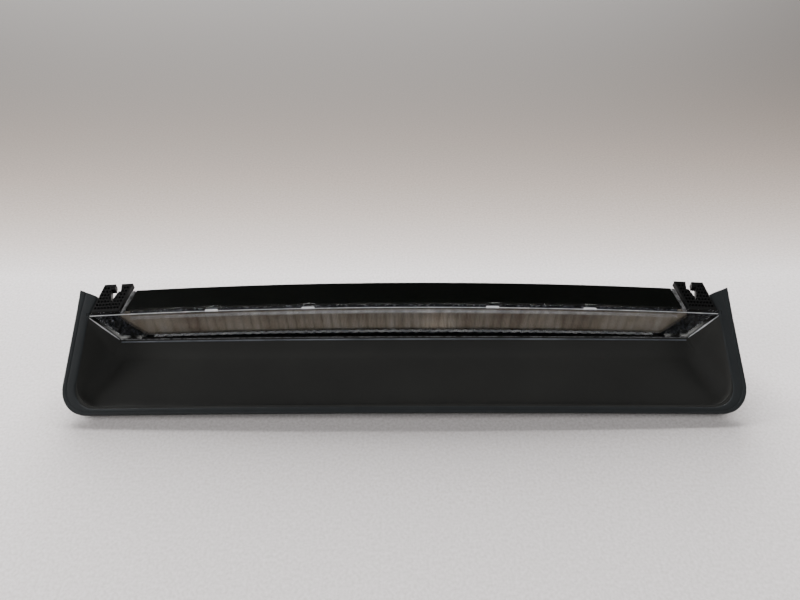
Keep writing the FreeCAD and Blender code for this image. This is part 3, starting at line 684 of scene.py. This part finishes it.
foot_height = arch(given["Foot"], given["Foot Rise"], given["Foot Half"])
head_height = arch(given["Head"], given["Head Rise"], given["Head Half"])
tall = add(row, "ShaderNodeMath", {0: head_height, 1: foot_height}, operation="SUBTRACT")
stretch = add(row, "ShaderNodeMath", {0: tall.outputs[0], 1: given["Flute Tall"]}, operation="DIVIDE")
raise_by = add(row, "ShaderNodeCombineXYZ", {"Z": foot_height})
placed = add(row, "GeometryNodeSetPosition", {"Geometry": line.outputs["Mesh"],
                                              "Offset": raise_by.outputs[0]})
scale = add(row, "ShaderNodeCombineXYZ", {"X": 1.0, "Y": 1.0, "Z": stretch.outputs[0]})
copies = add(row, "GeometryNodeInstanceOnPoints", {"Points": placed.outputs["Geometry"],
                                                   "Instance": given["Geometry"],
                                                   "Scale": scale.outputs[0]})
real = add(row, "GeometryNodeRealizeInstances", {"Geometry": copies.outputs["Instances"]})
dressed = add(row, "GeometryNodeSetMaterial", {"Geometry": real.outputs["Geometry"], "Material": acrylic})
add(row, "NodeGroupOutput", {"Geometry": dressed.outputs["Geometry"]})


def settle(piece, tree, sizes):
    """Runs a node tree on a piece with these sizes and keeps the result as its plain mesh."""
    modifier = piece.modifiers.new(tree.name, "NODES")
    modifier.node_group = tree
    for socket in tree.interface.items_tree:
        if socket.in_out == "INPUT" and socket.name in sizes:
            modifier[socket.identifier] = sizes[socket.name]
    seen = piece.evaluated_get(bpy.context.evaluated_depsgraph_get())
    mesh = bpy.data.meshes.new_from_object(seen)
    piece.modifiers.remove(modifier)
    piece.data = mesh


settle(flutes, row, dict(flute_sizes, Count=flute_count))

plate_front, plate_back, plate_lap, plate_end = 72.1, 72.9, 0.8, 212.0
plate_columns = np.unique(np.concatenate([np.linspace(-window_foot_half, window_foot_half, 80),
                                          [-window_half, -plate_end, plate_end, window_half]]))
plate_points = []
for x in plate_columns:
    low, high = window_span(x)
    low, high = low - plate_lap, high + plate_lap
    plate_points += [(x, plate_front, low), (x, plate_front, high)]
    plate_points += [(x, plate_back, high), (x, plate_back, low)]
plate = make_piece("optic_plate", plate_points, ring_faces(len(plate_columns), 4), acrylic)
tidy_mesh(plate)


def painted_edge_highlight(tree, place):
    """Grey to near white in streaks, and lit from within: painted highlights on the acrylic's edges."""
    streak = add(tree, "ShaderNodeTexNoise", {"Vector": place, "Scale": 120.0, "Detail": 3.0})
    tone = add(tree, "ShaderNodeValToRGB", {"Fac": streak.outputs["Fac"]})
    tone.color_ramp.elements[0].position = 0.38
    tone.color_ramp.elements[0].color = linear("#9a9ca0")
    tone.color_ramp.elements[1].color = linear("#fbfbfb")
    return {"Base Color": tone.outputs["Color"], "Roughness": 0.12, "IOR": 1.49,
            "Emission Color": tone.outputs["Color"], "Emission Strength": 0.45}


edge_highlight = finish_material("acrylic_edge_painted_highlight", painted_edge_highlight)
# Two beads are painted highlights on the optic's edges: the brow along the head of the flutes, the
# scalloped hem at their feet.
brow_y, brow_drop, brow_radius = 71.0, 4.5, 0.7
brow_path = [(x, brow_y, window_span(x)[1] - brow_drop) for x in np.linspace(-plate_end, plate_end, 70)]
brow = tube("optic_brow", brow_path, brow_radius, edge_highlight, 1.5, tip=0.4)
hem_y, hem_drop, hem_scallop, hem_radius = 69.7, 0.4, 1.1, 0.42
hem_path = []
for x in np.linspace(-198, 198, 400):
    wave = abs(math.cos(math.pi * (x + flute_pitch / 2) / flute_pitch))
    hem_path.append((x, hem_y, window_span(x)[0] - hem_drop - hem_scallop * wave ** 0.7))
hem = tube("optic_hem", hem_path, hem_radius, edge_highlight, 1.2, 8)
for piece in (flutes, plate, brow, hem):
    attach(piece, "root")
    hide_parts("fluted_optic")


# Inner bezel: gloss black mask behind the lens with a slant-ended window, moulded in ABS. Its ends have
# a tiny fleck in them that breaks up the reflection.


def gloss_bezel(tree, place):
    """Gloss black with a 1.4 mm fleck: each fleck tilts a little and some catch the light."""
    fleck = add(tree, "ShaderNodeTexVoronoi", {"Vector": place, "Scale": 700.0})
    chance = add(tree, "ShaderNodeSeparateXYZ", {0: fleck.outputs["Color"]})
    tone = add(tree, "ShaderNodeValToRGB", {"Fac": chance.outputs["X"]})
    tone.color_ramp.elements[0].position = 0.7
    tone.color_ramp.elements[0].color = linear("#1d1f23")
    tone.color_ramp.elements[1].position = 0.9
    tone.color_ramp.elements[1].color = linear("#565a63")
    bump = add(tree, "ShaderNodeBump", {"Height": fleck.outputs["Distance"], "Strength": 0.6,
                                        "Distance": 0.0004})
    return {"Base Color": tone.outputs["Color"], "Roughness": 0.2, "Normal": bump.outputs["Normal"]}


wear("inner_bezel", finish_material("gloss_black_bezel", gloss_bezel))


# Outer lens: clear acrylic cap welded on the housing. It is optically clear on its face; the bright lines
# on its slanted ends and top and the four snap tabs on its top edge are painted highlights, lit from
# within, and the line at its foot and its ears are painted reflection.


def clear_lens(tree, place):
    """Clear acrylic; its alpha lets light straight through to the optic, as two thin walls do."""
    haze = add(tree, "ShaderNodeTexNoise", {"Vector": place, "Scale": 25.0, "Detail": 3.0})
    gloss = add(tree, "ShaderNodeMapRange", {"Value": haze.outputs["Fac"], "To Min": 0.01,
                                             "To Max": 0.05})
    return {"Base Color": linear("#f7f7f5"), "Roughness": gloss.outputs["Result"],
            "Transmission Weight": 1.0, "IOR": 1.49, "Alpha": 0.4}


lens_acrylic = finish_material("clear_acrylic_lens", clear_lens)


def painted_ear_reflection(tree, place):
    """A thin clear ear over black plastic, painted mid grey with pale streaks along it: painted
    reflection in the clear acrylic.
    """
    streak = add(tree, "ShaderNodeTexNoise", {"Vector": place, "Scale": 260.0, "Detail": 4.0,
                                              "Roughness": 0.7})
    tone = add(tree, "ShaderNodeValToRGB", {"Fac": streak.outputs["Fac"]})
    tone.color_ramp.elements[0].position = 0.35
    tone.color_ramp.elements[0].color = linear("#39393a")
    tone.color_ramp.elements[1].position = 0.7
    tone.color_ramp.elements[1].color = linear("#a9a9aa")
    return {"Base Color": tone.outputs["Color"], "Roughness": 0.15, "IOR": 1.49}


ear_reflection = finish_material("clear_ear_painted_reflection", painted_ear_reflection)
lens_tip_half, lens_tip, lamp_crown = 243.4, 38.8, 9.3
# A bead is a painted highlight on each edge of the cap: its slanted ends, its top and its foot.
slant_y, slant_radius = 67.0, 0.55
for side, word in ((-1, "left"), (1, "right")):
    upper_end = np.array((side * (lens_tip_half - 0.9), slant_y, lens_tip - 0.4))
    lower_end = np.array((side * (lens_foot_half + 0.3), slant_y, lens_foot + 0.7))
    slant = [tuple(upper_end + (lower_end - upper_end) * t) for t in np.linspace(0, 1, 12)]
    edge = tube("lens_slant_edge_" + word, slant, slant_radius, edge_highlight, tip=0.25)
    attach(edge, "root")
    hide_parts("outer_lens")
top_y, top_drop, edge_radius = 67.45, 0.75, 0.3
top_path = [(x, top_y, float(glass_height(x, top_y, lamp_crown)) - top_drop)
            for x in np.linspace(-241, 241, 90)]
top_edge = tube("lens_top_edge", top_path, edge_radius, edge_highlight)
foot_y, foot_lift = 66.9, 0.6
foot_path = [(x, foot_y, lens_foot_height(x) + foot_lift) for x in np.linspace(-225, 225, 70)]
foot_edge = tube("lens_foot_edge", foot_path, edge_radius, ear_reflection)
# Each ear is a flat bar with a narrow groove along it, on the end of the housing's top strip.
ear_section = [(0, -1.6), (0, -0.25), (0.35, 0.05), (1.0, 0.0), (1.15, -0.3), (1.35, -0.3), (1.5, 0.0),
               (2.2, 0.05), (2.6, -0.25), (2.6, -1.6)]
ear_front, ear_length, ear_half, ear_lean, ear_drop, ear_stations = 68.6, 15.2, 214.3, 7.2, 0.2, 8
for side, word in ((-1, "left"), (1, "right")):
    ear_points = []
    for share in np.linspace(0, 1, ear_stations):
        y = ear_front + ear_length * share
        inner = ear_half - ear_lean * share
        for offset, rise in ear_section:
            x = side * (inner + offset)
            ear_points.append((x, y, float(glass_height(x, y, lamp_crown)) + rise - ear_drop))
    ear_faces = ring_faces(ear_stations, len(ear_section))
    ear = make_piece("lens_ear_" + word, ear_points, ear_faces, ear_reflection, 50)
    tidy_mesh(ear, 0.000001)
    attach(ear, "root")
    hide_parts("outer_lens")
lens_mesh = nodes["outer_lens"].data.copy()
lens_mesh.name = "lens_cap"
lens_mesh.materials.clear()
lens_mesh.materials.append(lens_acrylic)
lens_cap = bpy.data.objects.new("lens_cap", lens_mesh)
bpy.context.scene.collection.objects.link(lens_cap)
tidy_mesh(lens_cap, 0.000002)


def painted_tab_glint(tree, place):
    """A snap tab seen end on, near white and lit from within: painted glints, the brightest spots on the
    lens.
    """
    haze = add(tree, "ShaderNodeTexNoise", {"Vector": place, "Scale": 300.0})
    tone = add(tree, "ShaderNodeValToRGB", {"Fac": haze.outputs["Fac"]})
    tone.color_ramp.elements[0].color = linear("#b9bcc0")
    tone.color_ramp.elements[1].color = linear("#ffffff")
    return {"Base Color": tone.outputs["Color"], "Roughness": 0.15, "IOR": 1.49,
            "Emission Color": tone.outputs["Color"], "Emission Strength": 0.45}


tab_glint = finish_material("snap_tab_painted_glint", painted_tab_glint)
tab_places = (-146.0, -72.0, 68.0, 142.0)
tab_outline = ((-5.0, 0), (5.0, 0), (4.6, 1.1), (-4.6, 1.1))
tab_front, tab_drop, tab_underside, tab_top = 67.3, 0.15, 1.0, 0.15
tab_sides = [(2 * k, 2 * k + 1, (2 * k + 3) % 8, (2 * k + 2) % 8) for k in range(4)]
tabs = []
for tab_x in tab_places:
    tab_points = []
    for offset, back in tab_outline:
        x, y = tab_x + offset, tab_front + back
        height = float(glass_height(x, y, lamp_crown)) - tab_drop
        tab_points += [(x, y, height - tab_underside), (x, y, height - tab_top)]
    tab_faces = [(0, 2, 4, 6), (1, 7, 5, 3)] + tab_sides
    tab = make_piece("lens_tab_%d" % (len(tabs) + 1), tab_points, tab_faces, tab_glint)
    tidy_mesh(tab, 0.000001)
    tabs.append(tab)
for piece in [top_edge, foot_edge, lens_cap] + tabs:
    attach(piece, "root")
    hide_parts("outer_lens")


# Clip blocks: two glass-filled nylon blocks with waffle pockets and an open keyhole slot, which slide
# onto studs in the car's roof. Each is screwed to a cheek of the shroud.
wear("left_clip_block", black_nylon)
wear("right_clip_block", black_nylon)


# Screws: four hold the board, four the lamp and two the clip blocks. They are cold-headed from steel
# wire and zinc plated.


def zinc(tree, place):
    """Bright zinc with a patchy gloss."""
    grain = add(tree, "ShaderNodeTexNoise", {"Vector": place, "Scale": 800.0, "Detail": 3.0})
    gloss = add(tree, "ShaderNodeMapRange", {"Value": grain.outputs["Fac"], "To Min": 0.25,
                                             "To Max": 0.45})
    return {"Base Color": linear("#a9abae"), "Metallic": 1.0, "Roughness": gloss.outputs["Result"]}


zinc_steel = finish_material("zinc_plated_steel", zinc)
for name in ("board_screws", "lamp_screws", "clip_block_screws"):
    wear(name, zinc_steel)


# Backdrop, camera and light: a pale foam sheet under the part, a low, wide and strong soft light behind
# it like a window, and weak ones in front of it and at its sides.
# Painted shade on the sheet: where it starts, how fast it darkens and the share of colour left far back.
shade_start, shade_rate, far_shade_share = 0.107, -8.5, 0.04


def pale_sheet(tree, place):
    """Foamed packing sheet with faint fibres. Further back, painted shade darkens it and turns it warmer,
    where the light falls off.
    """
    fibre = add(tree, "ShaderNodeTexNoise", {"Vector": place, "Scale": 500.0, "Detail": 6.0})
    tone = add(tree, "ShaderNodeValToRGB", {"Fac": fibre.outputs["Fac"]})
    tone.color_ramp.elements[0].position = 0.3
    tone.color_ramp.elements[0].color = linear("#d9d5d2")
    tone.color_ramp.elements[1].position = 0.7
    tone.color_ramp.elements[1].color = linear("#f2efee")
    far = add(tree, "ShaderNodeSeparateXYZ", {0: place})
    past = add(tree, "ShaderNodeMath", {0: far.outputs["Y"], 1: shade_start}, operation="SUBTRACT")
    behind = add(tree, "ShaderNodeMath", {0: past.outputs[0], 1: 0.0}, operation="MAXIMUM")
    power = add(tree, "ShaderNodeMath", {0: behind.outputs[0], 1: shade_rate}, operation="MULTIPLY")
    shade_decay = add(tree, "ShaderNodeMath", {0: power.outputs[0]}, operation="EXPONENT")
    grey = add(tree, "ShaderNodeMath", {0: shade_decay.outputs[0], 1: 1 - far_shade_share, 2: far_shade_share},
               operation="MULTIPLY_ADD")
    # The painted shade also turns the colour warmer further back.
    shade_warmth = add(tree, "ShaderNodeValToRGB", {"Fac": shade_decay.outputs[0]})
    shade_warmth.color_ramp.elements[0].color = linear("#ffe6d0")
    shade_warmth.color_ramp.elements[1].color = linear("#fffcfd")
    tinted = add(tree, "ShaderNodeVectorMath", {0: tone.outputs["Color"], 1: shade_warmth.outputs["Color"]},
                 operation="MULTIPLY")
    shaded = add(tree, "ShaderNodeVectorMath", {0: tinted.outputs["Vector"], 1: grey.outputs[0]},
                 operation="MULTIPLY")
    return {"Base Color": shaded.outputs["Vector"], "Roughness": 0.85}


sheet = finish_material("pale_foam_sheet", pale_sheet)
floor_mesh = bpy.data.meshes.new("floor")
sheet_half, sheet_back = 3.0, 1.6
sheet_corners = [(-sheet_half, -sheet_half, 0), (sheet_half, -sheet_half, 0),
                 (sheet_half, sheet_back, 0), (-sheet_half, sheet_back, 0)]
floor_mesh.from_pydata(sheet_corners, [], [(0, 1, 2, 3)])
floor_mesh.materials.append(sheet)
floor = bpy.data.objects.new("floor", floor_mesh)
bpy.context.scene.collection.objects.link(floor)

camera_place = (0.0010, -0.3171, 0.4026)
pitch, yaw, roll = math.radians(45.73), math.radians(0.53), math.radians(-0.61)
ahead = Vector((-math.sin(yaw) * math.cos(pitch), math.cos(yaw) * math.cos(pitch), -math.sin(pitch)))
across = Vector((math.cos(yaw), math.sin(yaw), 0))
up = across.cross(ahead)
turned = across * math.cos(roll) + up * math.sin(roll)
upright = up * math.cos(roll) - across * math.sin(roll)
camera_data = bpy.data.cameras.new("camera")
camera_data.sensor_width = 36.0
camera_data.lens = 29.15
camera_data.clip_start = 0.01
camera = bpy.data.objects.new("camera", camera_data)
bpy.context.scene.collection.objects.link(camera)
facing = Matrix((turned, upright, -ahead)).transposed()
camera.matrix_world = Matrix.Translation(camera_place) @ facing.to_4x4()
bpy.context.scene.camera = camera


def soft_light(name, place, target, size, power):
    """A white rectangular light at place, size metres wide and high, that faces target."""
    data = bpy.data.lights.new(name, "AREA")
    data.shape = "RECTANGLE"
    data.size, data.size_y = size
    data.energy = power
    light = bpy.data.objects.new(name, data)
    light.location = place
    light.rotation_euler = (Vector(target) - Vector(place)).to_track_quat("-Z", "Y").to_euler()
    bpy.context.scene.collection.objects.link(light)


soft_light("window_light", (-0.35, 2.8, 1.0), (0, 0, 0), (4.0, 1.5), 570)
soft_light("ceiling_light", (-0.8, -1.7, 2.2), (0, 0, 0), (2.2, 1.6), 18)
soft_light("left_light", (-2.3, -0.1, 1.5), (0.1, 0, 0), (1.0, 1.0), 21)
soft_light("right_light", (2.3, -0.3, 1.5), (-0.1, 0, 0), (1.0, 1.0), 12)
# What the gloss reflects besides the lights: a room that is grey around the part and dark above it.
world = bpy.data.worlds.new("room")
world.use_nodes = True
sky = world.node_tree
direction = add(sky, "ShaderNodeSeparateXYZ", {0: add(sky, "ShaderNodeTexCoord").outputs["Generated"]})
room = add(sky, "ShaderNodeValToRGB", {"Fac": direction.outputs["Z"]})
room.color_ramp.elements[0].position = 0.25
room.color_ramp.elements[0].color = linear("#a9a9aa")
room.color_ramp.elements[1].position = 0.85
room.color_ramp.elements[1].color = linear("#1c1c1d")
sky.links.new(room.outputs["Color"], sky.nodes["Background"].inputs["Color"])
sky.nodes["Background"].inputs["Strength"].default_value = 0.4
bpy.context.scene.world = world
